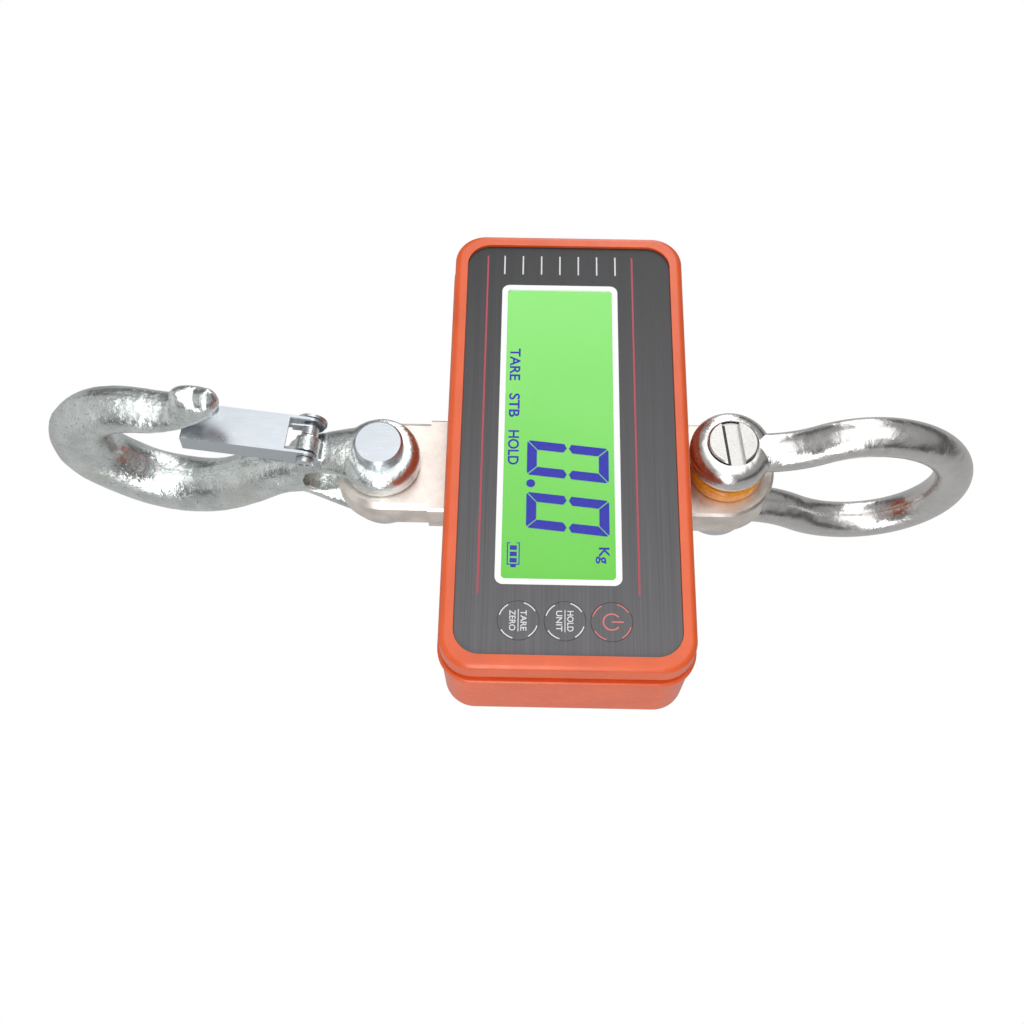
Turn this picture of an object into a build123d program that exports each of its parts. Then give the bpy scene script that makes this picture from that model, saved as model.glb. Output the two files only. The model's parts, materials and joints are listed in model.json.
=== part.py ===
from build123d import *
import os
from math import cos, radians, sin, sqrt

# Hanging scale with a bow shackle above and a clevis hook below, as it hangs in use.
# Millimetres. +Z is up along the load line, the display faces -Y, and +X is to the
# right of a person who reads the display. The origin is the hang point, which is the
# inside of the shackle's crown. Y = 0 is the middle of the load-cell bar.

# ---------------------------------------------------------------- driving dimensions
# Levels along the load line
CROWN_TO_PIN = 74.6                # inside of the crown to the shackle pin
PIN_TO_HOUSING = 56.4              # shackle pin to the middle of the housing
HOUSING_TO_CLEVIS = 65.4           # middle of the housing to the clevis pin
SHACKLE_PIN_Z = -CROWN_TO_PIN
HOUSING_Z = SHACKLE_PIN_Z - PIN_TO_HOUSING
CLEVIS_Z = HOUSING_Z - HOUSING_TO_CLEVIS

# Housing: front lid on a deeper rear shell
LID_W, LID_H, LID_R = 167.1, 82.2, 11.0
LID_FRONT_Y = -29.75               # front of the rim
LID_DEPTH = 8.6                    # height of the lid's outer wall
LID_EDGE_R = 2.2                   # rounding of the rim
GROOVE_DEPTH, GROOVE_H = 1.3, 3.0  # shadow groove between lid and shell
FLANGE_OUT, FLANGE_H = 0.9, 2.0    # the shell's lip, proud of the lid all round
SHELL_BACK_Y = 15.65
SHELL_TAPER = 1.2                  # degrees
SHELL_EDGE_R = 4.5
WALL = 2.4
FIT = 0.3                          # gap beside a part that drops into a recess

# Front panel, display window and keys (X, Z measured from the middle of the housing)
PANEL_W, PANEL_H, PANEL_R = 157.7, 72.8, 8.5
PANEL_Y = LID_FRONT_Y + 1.0
PANEL_T = 0.8
LCD_X, LCD_Z = -3.7, -3.15
BEZEL_W, BEZEL_H, BEZEL_R, BEZEL_EDGE = 116.8, 41.3, 2.7, 2.0
GLASS_T, LIGHT_T = 2.8, 3.2
KEY_X, KEY_R, KEY_GAP, KEY_TRAVEL = 67.1, 6.6, 0.15, 0.4
KEY_Z = {"tare": -15.9, "hold": -1.0, "power": 13.9}
KEY_STEM_R = 2.0

# Load cell: a flat bar right through the housing
BAR_T = 13.5
BAR_HALF_TOP, BAR_HALF_LOW = 18.3, 17.4
BAR_TOP_CENTRE, BAR_LOW_CENTRE = 55.5, -64.6   # centres of its round ends
BAR_STEP_Z = -48.5                 # where it narrows below the housing
BAR_BEVEL = 1.8

# Shackle
ROD_R = 6.75
BOW_HALF = 32.2                    # centre of the rod to the load line at the widest
LEG_BEND_R = 36.0
WASHER_R, WASHER_T = 13.2, 5.9
SPIN_GAP = 0.25                    # between faces that turn on each other
EYE_R, EYE_T = 14.2, 13.2
EYE_ROUND_OUT, EYE_ROUND_IN = 5.6, 6.0   # rounding of the front eye's two rims
TAPPED_EYE_R = 12.2                # the rear eye, which the pin screws into
TAPPED_ROUND_OUT, TAPPED_ROUND_IN = 4.6, 5.0
SHACKLE_PIN_R = 6.35
PIN_FIT = 0.05                     # radial clearance round a pin
HEAD_R, HEAD_H, HEAD_SUNK = 8.55, 4.2, 3.1
HEAD_SLOT_W, HEAD_SLOT_D, HEAD_SLOT_TURN = 6.2, 2.4, 6.0
THREAD_PITCH, THREAD_DEPTH, THREAD_TURNS = 1.75, 0.4, 2   # the turns seen beyond the rear eye
PIN_TAIL = 3.2                     # pin beyond the rear eye

# Clevis and hook: depth is measured down from the clevis pin, reach forward of the load line
EAR_R, EAR_T, FORK_GAP = 14.1, 10.3, 0.35
CLEVIS_PIN_R, CLEVIS_HEAD_R, CLEVIS_HEAD_H = 6.0, 8.6, 5.0
CLEVIS_TAIL, COTTER_R = 6.0, 1.3   # pin beyond the fork, and the cotter through it
FORK_DEPTH = 28.0                  # bottom of the slot below the pin
HOOK_LEAN = 5.1                    # degrees that the hook rests away from plumb, towards -X
BACK_DEPTH, BACK_REACH, BACK_R = 76.0, 7.5, 32.7   # centre line down the hook's back
BOWL_DEPTH, BOWL_REACH, BOWL_R = 84.0, 3.5, 25.1   # centre line round the bowl
BACK_START, BACK_END, BOWL_START, BOWL_END = -38, 48, 72, 180   # degrees round those arcs
DEEP_TAPER_FROM, WIDE_TAPER_FROM = 90, 70          # where the section starts to thin, degrees
HOOK_HALF_DEEP, HOOK_HALF_WIDE = 12.0, 10.3        # half thickness at the thickest
NECK_DEPTH, NECK_REACH, NECK_TURN = 37.5, -5.2, -32
POINT_DEPTH, POINT_REACH, POINT_TURN = 67.0, 32.0, 156
TIP_DEPTH, TIP_REACH, TIP_R, TIP_TURN = 57.2, 39.4, 4.7, 140
HINGE_DEPTH, HINGE_REACH = 25.0, 17.6
LATCH_W, LATCH_T, LATCH_SIDE = 14.4, 1.0, 7.5
LATCH_END_DEPTH, LATCH_LEAN = 68.0, 3.3   # the lean is in degrees, forward of plumb
LATCH_PIN_R = 1.75
LUG_X0, LUG_X1 = -1.0, 5.3         # the hook's lug between the latch's ears
LUG_R, LUG_ROOT = 4.5, 12.0        # its round end, and its length back into the neck

# Inside the housing
BOARD_W, BOARD_H, BOARD_T, BOARD_FRONT_Y = 142.0, 62.0, 1.6, -20.4
LID_BOSS_X, LID_BOSS_Z, LID_BOSS_R = 76.0, 33.5, 4.0
LID_SCREW_HOLE_R, LID_SCREW_SINK_R, LID_SCREW_SINK = 1.6, 3.0, 2.0
CELL_BOLT_X, CELL_BOLT_Z, CELL_BOLT_R = 11.0, 24.0, 2.1
CELL_BOSS_R, CELL_BOLT_SINK_R, CELL_BOLT_SINK = 5.0, 4.0, 2.6
SCREW_RECESS = 0.2                 # screw heads lie this far below the shell's back
AA_R, AA_LENGTH, AA_COUNT = 7.25, 50.5, 3
BAY_X, BAY_Y = -47.0, 2.8          # middle of the battery bay
BAY_W, BAY_H = 45.0, 58.0
DOOR_W, DOOR_H, DOOR_T, DOOR_GASKET_T = 49.0, 69.0, 1.8, 0.6

# ---------------------------------------------------------------- values worked out from them
LID_BACK_Y = LID_FRONT_Y + LID_DEPTH
FLANGE_Y = LID_BACK_Y + GROOVE_H
WALL_Y = FLANGE_Y + FLANGE_H
FLOOR_Y = SHELL_BACK_Y - WALL
PANEL_BACK_Y = PANEL_Y + PANEL_T
LID_FACE_T = 2.2
LID_INSIDE_Y = PANEL_BACK_Y + LID_FACE_T
GLASS_FRONT_Y = PANEL_BACK_Y + 0.1
GLASS_BACK_Y = GLASS_FRONT_Y + GLASS_T
BOARD_BACK_Y = BOARD_FRONT_Y + BOARD_T
BAR_HALF_T = BAR_T / 2
EYE_IN_Y = BAR_HALF_T + WASHER_T + SPIN_GAP
EYE_OUT_Y = EYE_IN_Y + EYE_T
EYE_MID_Y = (EYE_IN_Y + EYE_OUT_Y) / 2
FORK_IN_Y = BAR_HALF_T + FORK_GAP
FORK_OUT_Y = FORK_IN_Y + EAR_T
FORK_MID_Y = (FORK_IN_Y + FORK_OUT_Y) / 2
COTTER_Y = FORK_OUT_Y + 2.4
DOOR_SEAT_Y = SHELL_BACK_Y - DOOR_T - DOOR_GASKET_T
DOOR_PAD_T = 2.6                   # ledge behind the battery door
CORNERS = [(sx, sz) for sx in (-1, 1) for sz in (-1, 1)]


# ---------------------------------------------------------------- helpers
def front_plane(y):
    """A plane that faces the reader: local x is +X, local y is +Z, normal is -Y."""
    return Plane(origin=(0, y, 0), x_dir=(1, 0, 0), z_dir=(0, -1, 0))


def slab(outline, y_front, y_back, taper=0):
    """The outline, drawn in X and Z, made solid between two depths."""
    return extrude(front_plane(y_back) * outline, amount=y_back - y_front, taper=taper)


def pin_y(radius, y0, y1, x=0, z=0):
    """A round pin along Y."""
    return slab(Pos(x, z) * Circle(radius), y0, y1)


def rounded(width, height, radius, x=0, z=0):
    return Pos(x, z) * RectangleRounded(width, height, radius)


def block(width, depth, height, x, y, z):
    """A box centred on (x, y, z)."""
    return Pos(x, y, z) * Box(width, depth, height)


def at_housing(shape):
    """From a frame centred on the housing."""
    return Pos(0, 0, HOUSING_Z) * shape


def at_clevis(shape):
    """From the clevis pin's own frame, in which the hook hangs plumb."""
    return Pos(0, 0, CLEVIS_Z) * Rot(0, HOOK_LEAN, 0) * shape


def screw(head_r, head_h, shank_r, length, recess=True):
    """A screw along Y with its head's outer face at y = 0 and its shank towards -Y."""
    body = pin_y(head_r, -head_h, 0) + pin_y(shank_r, -head_h - length, -head_h)
    if recess:
        arm = head_r * 1.1
        for width, height in ((arm, arm * 0.25), (arm * 0.25, arm)):
            body -= slab(Rectangle(width, height), -head_h * 0.6, 0.1)
    return body


def ring_y(radius, wire_r, y, x=0, z=0):
    """A wire ring about the Y direction."""
    return Pos(x, y, z) * Rot(90, 0, 0) * Torus(radius, wire_r)


# ---------------------------------------------------------------- shackle
def bow_path():
    """Centre line of the bow: up from one eye, out, over the crown and down to the other."""
    crown_z = -BOW_HALF + ROD_R
    bend_y = EYE_MID_Y + LEG_BEND_R
    reach = BOW_HALF + LEG_BEND_R
    bend_z = crown_z - sqrt(reach ** 2 - bend_y ** 2)
    meet_y = bend_y * BOW_HALF / reach
    meet_z = crown_z + (bend_z - crown_z) * BOW_HALF / reach
    start = (-EYE_MID_Y, SHACKLE_PIN_Z)
    legs = [Line(start, (-EYE_MID_Y, bend_z))]
    legs.append(RadiusArc((-EYE_MID_Y, bend_z), (-meet_y, meet_z), -LEG_BEND_R))
    legs.append(ThreePointArc((-meet_y, meet_z), (0, crown_z + BOW_HALF), (meet_y, meet_z)))
    legs.append(RadiusArc((meet_y, meet_z), (EYE_MID_Y, bend_z), -LEG_BEND_R))
    legs.append(Line((EYE_MID_Y, bend_z), (EYE_MID_Y, SHACKLE_PIN_Z)))
    return Plane.YZ * Curve(legs)


def eye(outer_r, y_in, y_out, outer_fillet, inner_fillet, z):
    """A round-edged eye on the -Y side; y_in and y_out are distances from Y = 0."""
    barrel = pin_y(outer_r, -y_out, -y_in, 0, z)
    rims = barrel.edges().filter_by(GeomType.CIRCLE).sort_by(Axis.Y)
    barrel = fillet(rims[0], outer_fillet)
    rims = barrel.edges().filter_by(GeomType.CIRCLE).sort_by(Axis.Y)
    return fillet(rims[-1], inner_fillet)


def shackle_bow():
    """Round-rod bow with an eye at each end; the front eye is recessed for the pin's head."""
    path = bow_path()
    rod = Plane(origin=path @ 0, z_dir=path % 0) * Circle(ROD_R)
    bow = sweep(rod, path=path)
    bow += eye(EYE_R, EYE_IN_Y, EYE_OUT_Y, EYE_ROUND_OUT, EYE_ROUND_IN, SHACKLE_PIN_Z)
    tapped = eye(TAPPED_EYE_R, EYE_IN_Y, EYE_OUT_Y, TAPPED_ROUND_OUT, TAPPED_ROUND_IN, SHACKLE_PIN_Z)
    bow += mirror(tapped, about=Plane.XZ)
    bow -= pin_y(SHACKLE_PIN_R + PIN_FIT, -EYE_OUT_Y - 1, EYE_OUT_Y + 1, 0, SHACKLE_PIN_Z)
    recess = pin_y(HEAD_R + 0.4, -EYE_OUT_Y - 1, -EYE_OUT_Y + HEAD_SUNK, 0, SHACKLE_PIN_Z)
    clear_bar = block(2 * BAR_HALF_TOP, 2 * EYE_IN_Y, 2 * EYE_R, 0, 0, SHACKLE_PIN_Z)
    return bow - recess - clear_bar


def shackle_pin():
    """Screw pin: a flat round head with one wide driver slot, threaded at the far end."""
    face = -EYE_OUT_Y + HEAD_SUNK - HEAD_H
    head = chamfer(pin_y(HEAD_R, face, face + HEAD_H).edges().filter_by(GeomType.CIRCLE), 0.5)
    slot = block(3 * HEAD_R, HEAD_SLOT_D, HEAD_SLOT_W, 0, face + HEAD_SLOT_D / 2, 0)
    slot = Rot(0, -HEAD_SLOT_TURN, 0) * slot
    shank = pin_y(SHACKLE_PIN_R, face + HEAD_H, EYE_OUT_Y + PIN_TAIL)
    shank = chamfer(shank.edges().filter_by(GeomType.CIRCLE).sort_by(Axis.Y)[-1], 1.0)
    pin = head + shank - slot
    groove_r = 0.55
    for turn in range(THREAD_TURNS):
        y = EYE_OUT_Y + groove_r + turn * THREAD_PITCH
        pin -= ring_y(SHACKLE_PIN_R + groove_r - THREAD_DEPTH, groove_r, y)
    return Pos(0, 0, SHACKLE_PIN_Z) * pin


def spacer_washer(side):
    """Plastic washer between the bar and an eye, with a rounded outer rim."""
    washer = pin_y(WASHER_R, BAR_HALF_T, BAR_HALF_T + WASHER_T)
    washer -= pin_y(SHACKLE_PIN_R + 0.1, BAR_HALF_T - 1, BAR_HALF_T + WASHER_T + 1)
    rims = washer.edges().filter_by(GeomType.CIRCLE).filter_by(lambda e: e.radius > WASHER_R - 0.1)
    washer = fillet(rims, 1.3)
    if side == "front":
        washer = mirror(washer, about=Plane.XZ)
    return Pos(0, 0, SHACKLE_PIN_Z) * washer


# ---------------------------------------------------------------- load cell
GAUGE_W, GAUGE_H, GAUGE_D = 25.0, 30.0, 2.4    # pocket for the strain gauges
FLEXURE_LENGTH, FLEXURE_W = 22, 8              # through slot that lets the bar flex
CELL_BOLT_HOLE_R, CELL_BOLT_HOLE_DEPTH = 2.5, 7
BAR_TOP_BEVEL = 0.9
BAR_RUN_IN = 6.0                               # overlap of the bar's two widths


def load_cell():
    """Nickel-plated bar with a pin hole at each end and a gauge pocket in the middle."""
    top_len = BAR_TOP_CENTRE - BAR_STEP_Z
    top = Rectangle(2 * BAR_HALF_TOP, top_len)
    top = Pos(0, (BAR_TOP_CENTRE + BAR_STEP_Z) / 2) * top
    top += Pos(0, BAR_TOP_CENTRE) * Circle(BAR_HALF_TOP)
    upper = slab(top, -BAR_HALF_T, BAR_HALF_T)
    arcs = upper.edges().filter_by(GeomType.CIRCLE)
    upper = chamfer(arcs, BAR_TOP_BEVEL)
    low_top = BAR_STEP_Z + BAR_RUN_IN
    low = Pos(0, (low_top + BAR_LOW_CENTRE) / 2) * Rectangle(2 * BAR_HALF_LOW, low_top - BAR_LOW_CENTRE)
    low += Pos(0, BAR_LOW_CENTRE) * Circle(BAR_HALF_LOW)
    lower = slab(low, -BAR_HALF_T, BAR_HALF_T)
    flat_edges = lower.edges().filter_by(lambda e: abs(abs(e.center().Y) - BAR_HALF_T) < 0.01)
    lower = chamfer(flat_edges, BAR_BEVEL)
    bar = upper + lower
    bar -= pin_y(SHACKLE_PIN_R + 0.1, -BAR_T, BAR_T, 0, PIN_TO_HOUSING)
    bar -= pin_y(CLEVIS_PIN_R + 0.1, -BAR_T, BAR_T, 0, -HOUSING_TO_CLEVIS)
    bar -= slab(rounded(GAUGE_W, GAUGE_H, 3), -BAR_HALF_T - 1, -BAR_HALF_T + GAUGE_D)
    bar -= slab(SlotOverall(FLEXURE_LENGTH, FLEXURE_W, rotation=90), -BAR_T, BAR_T)
    for sx, sz in CORNERS:
        hole_end = BAR_HALF_T - CELL_BOLT_HOLE_DEPTH
        bar -= pin_y(CELL_BOLT_HOLE_R, hole_end, BAR_T, sx * CELL_BOLT_X, sz * CELL_BOLT_Z)
    return at_housing(bar)


POTTING_FRONT_Y = -BAR_HALF_T - 3.6


def gauge_potting():
    """Soft white sealant over the strain gauges, filling the pocket."""
    pad = slab(rounded(GAUGE_W - 0.2, GAUGE_H - 0.2, 2.9), POTTING_FRONT_Y, -BAR_HALF_T + GAUGE_D)
    return at_housing(pad)


LEAD_R = 1.2
LEAD_Y = -BAR_HALF_T - 0.65 - LEAD_R
PLUG_X, PLUG_Z, PLUG_W, PLUG_H, PLUG_DEEP = 58.0, -16.0, 8.0, 12.0, 7.0
PLUG_MID_Y = BOARD_BACK_Y + PLUG_DEEP / 2


def gauge_lead():
    """Gauge cable: out of the sealant, along the bar and across to its board connector."""
    points = [(GAUGE_W / 2 - 0.1, LEAD_Y, -4.0), (30.0, LEAD_Y, -4.0)]
    points += [(46.0, PLUG_MID_Y, PLUG_Z), (PLUG_X - PLUG_W / 2, PLUG_MID_Y, PLUG_Z)]
    route = FilletPolyline(*points, radius=[21.0, 9.5])
    lead = sweep(Plane(origin=route @ 0, z_dir=route % 0) * Circle(LEAD_R), path=route)
    return at_housing(lead)


# ---------------------------------------------------------------- housing
def front_lid():
    """Painted metal lid: rim, shadow-groove skirt, face with the display and key openings."""
    body = slab(rounded(LID_W, LID_H, LID_R), LID_FRONT_Y, LID_BACK_Y)
    front_rim = body.edges().filter_by(lambda e: abs(e.center().Y - LID_FRONT_Y) < 0.01)
    body = fillet(front_rim, LID_EDGE_R)
    skirt_w, skirt_h = LID_W - 2 * GROOVE_DEPTH, LID_H - 2 * GROOVE_DEPTH
    body += slab(rounded(skirt_w, skirt_h, LID_R - GROOVE_DEPTH), LID_BACK_Y, FLANGE_Y)
    tongue_w, tongue_h = LID_W - 2 * WALL - 2.4, LID_H - 2 * WALL - 2.4
    body += slab(rounded(tongue_w, tongue_h, LID_R - WALL - 1.2), FLANGE_Y, FLANGE_Y + 2.6)
    body -= slab(rounded(PANEL_W + FIT, PANEL_H + FIT, PANEL_R + FIT / 2), LID_FRONT_Y - 1, PANEL_BACK_Y)
    hollow_w, hollow_h = tongue_w - 3.2, tongue_h - 3.2
    body -= slab(rounded(hollow_w, hollow_h, LID_R - WALL - 2.8), LID_INSIDE_Y, FLANGE_Y + 4)
    for sx, sz in CORNERS:
        body -= pin_y(LID_BOSS_R + 0.3, FLANGE_Y, FLANGE_Y + 4, sx * LID_BOSS_X, sz * LID_BOSS_Z)
        body += pin_y(LID_BOSS_R, LID_INSIDE_Y - 0.5, FLANGE_Y, sx * LID_BOSS_X, sz * LID_BOSS_Z)
        body -= pin_y(1.42, LID_INSIDE_Y + 1, FLANGE_Y + 1, sx * LID_BOSS_X, sz * LID_BOSS_Z)
    for x, z in board_screw_places():
        body += pin_y(2.8, LID_INSIDE_Y - 0.5, BOARD_FRONT_Y, x, z)
        body -= pin_y(1.12, LID_INSIDE_Y + 0.6, BOARD_FRONT_Y + 1, x, z)
    body -= slab(rounded(BEZEL_W + 1.2, BEZEL_H + 1.7, 2, LCD_X, LCD_Z), PANEL_BACK_Y - 1, LID_INSIDE_Y + 1)
    for z in KEY_Z.values():
        body -= pin_y(KEY_R + 0.4, PANEL_BACK_Y - 1, PANEL_BACK_Y + 0.7, KEY_X, z)
        body -= pin_y(KEY_STEM_R + 0.4, PANEL_BACK_Y, LID_INSIDE_Y + 1, KEY_X, z)
    return at_housing(body)


def shell_outline(grow=0.0):
    return rounded(LID_W + 2 * grow, LID_H + 2 * grow, LID_R + grow)


def rear_shell():
    """Deep painted rear shell with its lip, battery bay, bar windows and bosses."""
    # The wall is drawn at the lip and drafted inwards towards the back.
    lip_plane = Plane(origin=(0, WALL_Y, 0), x_dir=(1, 0, 0), z_dir=(0, 1, 0))
    shell = extrude(lip_plane * shell_outline(), amount=SHELL_BACK_Y - WALL_Y, taper=SHELL_TAPER)
    back_rim = shell.edges().filter_by(lambda e: abs(e.center().Y - SHELL_BACK_Y) < 0.01)
    shell = fillet(back_rim, SHELL_EDGE_R)
    lip = slab(shell_outline(FLANGE_OUT), FLANGE_Y, WALL_Y)
    lip = fillet(lip.edges().filter_by(lambda e: abs(e.center().Y - FLANGE_Y) < 0.01), 0.7)
    shell += lip
    inside_w, inside_h = LID_W - 2 * WALL, LID_H - 2 * WALL
    cavity = extrude(lip_plane * rounded(inside_w, inside_h, LID_R - WALL),
                     amount=FLOOR_Y - WALL_Y, taper=SHELL_TAPER)
    shell -= cavity
    shell -= slab(rounded(inside_w, inside_h, LID_R - WALL), FLANGE_Y - 1, WALL_Y + 0.01)
    for sx, sz in CORNERS:
        x, z = sx * LID_BOSS_X, sz * LID_BOSS_Z
        shell += pin_y(LID_BOSS_R, FLANGE_Y + 0.1, FLOOR_Y + 0.5, x, z)
        shell -= pin_y(LID_SCREW_HOLE_R, FLANGE_Y - 1, SHELL_BACK_Y + 1, x, z)
        shell -= pin_y(LID_SCREW_SINK_R, SHELL_BACK_Y - LID_SCREW_SINK, SHELL_BACK_Y + 1, x, z)
        x, z = sx * CELL_BOLT_X, sz * CELL_BOLT_Z
        shell += pin_y(CELL_BOSS_R, BAR_HALF_T, FLOOR_Y + 0.5, x, z)
        shell -= pin_y(CELL_BOLT_R + PIN_FIT, BAR_HALF_T - 1, SHELL_BACK_Y + 1, x, z)
        shell -= pin_y(CELL_BOLT_SINK_R, SHELL_BACK_Y - CELL_BOLT_SINK, SHELL_BACK_Y + 1, x, z)
    pad = rounded(DOOR_W + 4, DOOR_H - 2, 3, BAY_X, 0)
    shell += slab(pad, DOOR_SEAT_Y - DOOR_PAD_T, FLOOR_Y + 0.5)
    shell -= slab(rounded(BAY_W, BAY_H, 2, BAY_X, 0), DOOR_SEAT_Y - 5, SHELL_BACK_Y + 1)
    shell -= slab(rounded(DOOR_W + FIT, DOOR_H + FIT, 3.15, BAY_X, 0), DOOR_SEAT_Y, SHELL_BACK_Y + 1)
    for x, z in door_screw_places():
        shell -= pin_y(1.22, DOOR_SEAT_Y - DOOR_PAD_T - 1, SHELL_BACK_Y, x, z)
    window = block(2 * BAR_HALF_TOP + 0.8, BAR_T + 0.8, 2 * LID_H, 0, 0, 0)
    return at_housing(shell - window)


def lid_gasket():
    """Rubber seal squeezed between the lid's tongue and the shell's wall."""
    outer_w, outer_h = LID_W - 2 * WALL - 0.1, LID_H - 2 * WALL - 0.1
    inner_w, inner_h = LID_W - 2 * WALL - 2.3, LID_H - 2 * WALL - 2.3
    ring = rounded(outer_w, outer_h, LID_R - WALL) - rounded(inner_w, inner_h, LID_R - WALL - 1.1)
    for sx, sz in CORNERS:
        ring -= Pos(sx * LID_BOSS_X, sz * LID_BOSS_Z) * Circle(LID_BOSS_R + 0.1)
    return at_housing(slab(ring, FLANGE_Y + 0.1, FLANGE_Y + 1.7))


def cell_seals():
    """Two silicone collars round the bar, against the inside of the shell's end walls."""
    seals = []
    for side in (-1, 1):
        z = side * (LID_H / 2 - WALL - 2.4)
        collar = block(2 * BAR_HALF_TOP + 8, BAR_T + 7, 2.4, 0, 0, z)
        seals.append(collar - block(2 * BAR_HALF_TOP + 0.02, BAR_T + 0.02, 8, 0, 0, z))
    return at_housing(Compound(seals))


def rear_label():
    """Thin plastic data plate on the back, to the right of the bar's bolts."""
    return at_housing(slab(rounded(44, 26, 2, 50, 0), SHELL_BACK_Y, SHELL_BACK_Y + 0.3))


# ---------------------------------------------------------------- front panel
def overlay_panel():
    """Dark printed overlay with openings for the display and the three keys."""
    sheet = rounded(PANEL_W, PANEL_H, PANEL_R) - rounded(BEZEL_W, BEZEL_H, BEZEL_R, LCD_X, LCD_Z)
    for z in KEY_Z.values():
        sheet -= Pos(KEY_X, z) * Circle(KEY_R + KEY_GAP)
    return at_housing(slab(sheet, PANEL_Y, PANEL_BACK_Y))


def lcd_bezel():
    """White border round the display window."""
    border = rounded(BEZEL_W, BEZEL_H, BEZEL_R, LCD_X, LCD_Z)
    border -= rounded(BEZEL_W - 2 * BEZEL_EDGE, BEZEL_H - 2 * BEZEL_EDGE, 1.4, LCD_X, LCD_Z)
    return at_housing(slab(border, PANEL_Y, PANEL_BACK_Y))


def lcd_window():
    """Clear window inside the white border."""
    pane = rounded(BEZEL_W - 2 * BEZEL_EDGE, BEZEL_H - 2 * BEZEL_EDGE, 1.4, LCD_X, LCD_Z)
    return at_housing(slab(pane, PANEL_Y + 0.1, PANEL_BACK_Y))


def lcd_glass():
    """Display glass: a large front pane and a slightly smaller rear one."""
    pane = slab(rounded(BEZEL_W + 0.6, BEZEL_H + 1.1, 1, LCD_X, LCD_Z), GLASS_FRONT_Y, GLASS_FRONT_Y + 1.4)
    pane += slab(rounded(BEZEL_W + 0.6, BEZEL_H - 2, 1, LCD_X, LCD_Z), GLASS_FRONT_Y + 1.4, GLASS_BACK_Y)
    return at_housing(pane)


def lcd_backlight():
    """Light guide behind the glass, with its lamp tab at one end."""
    guide = slab(rounded(BEZEL_W - 2, BEZEL_H - 3, 1, LCD_X, LCD_Z), GLASS_BACK_Y, GLASS_BACK_Y + LIGHT_T)
    return at_housing(guide)


def lcd_pins():
    """Row of contact pins from the edge of the glass down to the board."""
    count, pitch = 30, 2.54
    z = LCD_Z + BEZEL_H / 2 - 0.1
    pins = []
    for i in range(count):
        x = LCD_X + (i - (count - 1) / 2) * pitch
        y0, y1 = GLASS_FRONT_Y + 1.4, BOARD_FRONT_Y
        pins.append(block(0.5, y1 - y0, 0.3, x, (y0 + y1) / 2, z))
    return at_housing(Compound(pins))


def key(name):
    """Flat round key with a stem that reaches its switch."""
    cap = pin_y(KEY_R, PANEL_Y, PANEL_BACK_Y, KEY_X, KEY_Z[name])
    cap += pin_y(KEY_STEM_R, PANEL_BACK_Y, BOARD_FRONT_Y - 4.2, KEY_X, KEY_Z[name])
    return at_housing(cap)


# ---------------------------------------------------------------- electronics
def board_screw_places():
    return [(x, z) for x in (-66.0, 0.0, 66.0) for z in (-27.0, 27.0)]


def main_board():
    board = slab(rounded(BOARD_W, BOARD_H, 1.5), BOARD_FRONT_Y, BOARD_BACK_Y)
    for x, z in board_screw_places():
        board -= pin_y(1.3, BOARD_FRONT_Y - 1, BOARD_BACK_Y + 1, x, z)
    return at_housing(board)


def board_screws():
    one = screw(2.6, 1.5, 1.1, 4.4)
    screws = [Pos(x, BOARD_BACK_Y + 1.5, z) * one for x, z in board_screw_places()]
    return at_housing(Compound(screws))


def tact_switches():
    """Three square switches, one behind each key."""
    top = BOARD_FRONT_Y - 3.0
    switches = []
    for z in KEY_Z.values():
        body = block(6, 3.0, 6, KEY_X, BOARD_FRONT_Y - 1.5, z)
        switches.append(body + pin_y(1.7, top - 0.6, top, KEY_X, z))
    return at_housing(Compound(switches))


def board_chips():
    """Chips, a crystal and capacitors on the back of the board: width, height, thickness, X, Z."""
    chips = [(14, 14, 1.6, 34, 12), (9, 7, 1.4, 40, -8), (6, 5, 1.4, 58, 14), (11, 4.5, 3.6, 36, 26)]
    chips += [(5, 5, 1.2, -30, 20), (8, 6, 1.4, -52, -18), (3, 2, 1.0, 46, 20), (3, 2, 1.0, 46, 4)]
    solids = [block(w, t, h, x, BOARD_BACK_Y + t / 2, z) for w, h, t, x, z in chips]
    capacitors = [(2.5, 58, 26), (3.0, -58, 20), (3.0, 20, -26)]
    solids += [pin_y(radius, BOARD_BACK_Y, BOARD_BACK_Y + 6, x, z) for radius, x, z in capacitors]
    return at_housing(Compound(solids))


def buzzer():
    """Round buzzer on the back of the board, with its sound hole."""
    x, z = -44, 4
    can = pin_y(6.0, BOARD_BACK_Y, BOARD_BACK_Y + 5.5, x, z)
    return at_housing(can - pin_y(1, BOARD_BACK_Y + 4, 0, x, z))


def lead_plug():
    """Board connector that takes the gauge cable."""
    return at_housing(block(PLUG_W, PLUG_DEEP, PLUG_H, PLUG_X, PLUG_MID_Y, PLUG_Z))


# ---------------------------------------------------------------- batteries
HOLDER_T = 1.3
HOLDER_FRONT_Y = BAY_Y - AA_R - 0.5 - HOLDER_T
CONTACT_T = 0.5


def cell_places():
    pitch = 2 * AA_R + 0.3
    return [BAY_X + (i - (AA_COUNT - 1) / 2) * pitch for i in range(AA_COUNT)]


def battery_holder():
    """Open tray that holds the cells side by side, against the back of the battery bay."""
    back = DOOR_SEAT_Y - DOOR_PAD_T
    tray = slab(rounded(BAY_W + 2 * HOLDER_T, BAY_H + 2 * HOLDER_T, 2, BAY_X, 0), HOLDER_FRONT_Y, back)
    bay = slab(Pos(BAY_X, 0) * Rectangle(BAY_W, BAY_H), HOLDER_FRONT_Y + HOLDER_T, back + 1)
    return at_housing(tray - bay)


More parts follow.
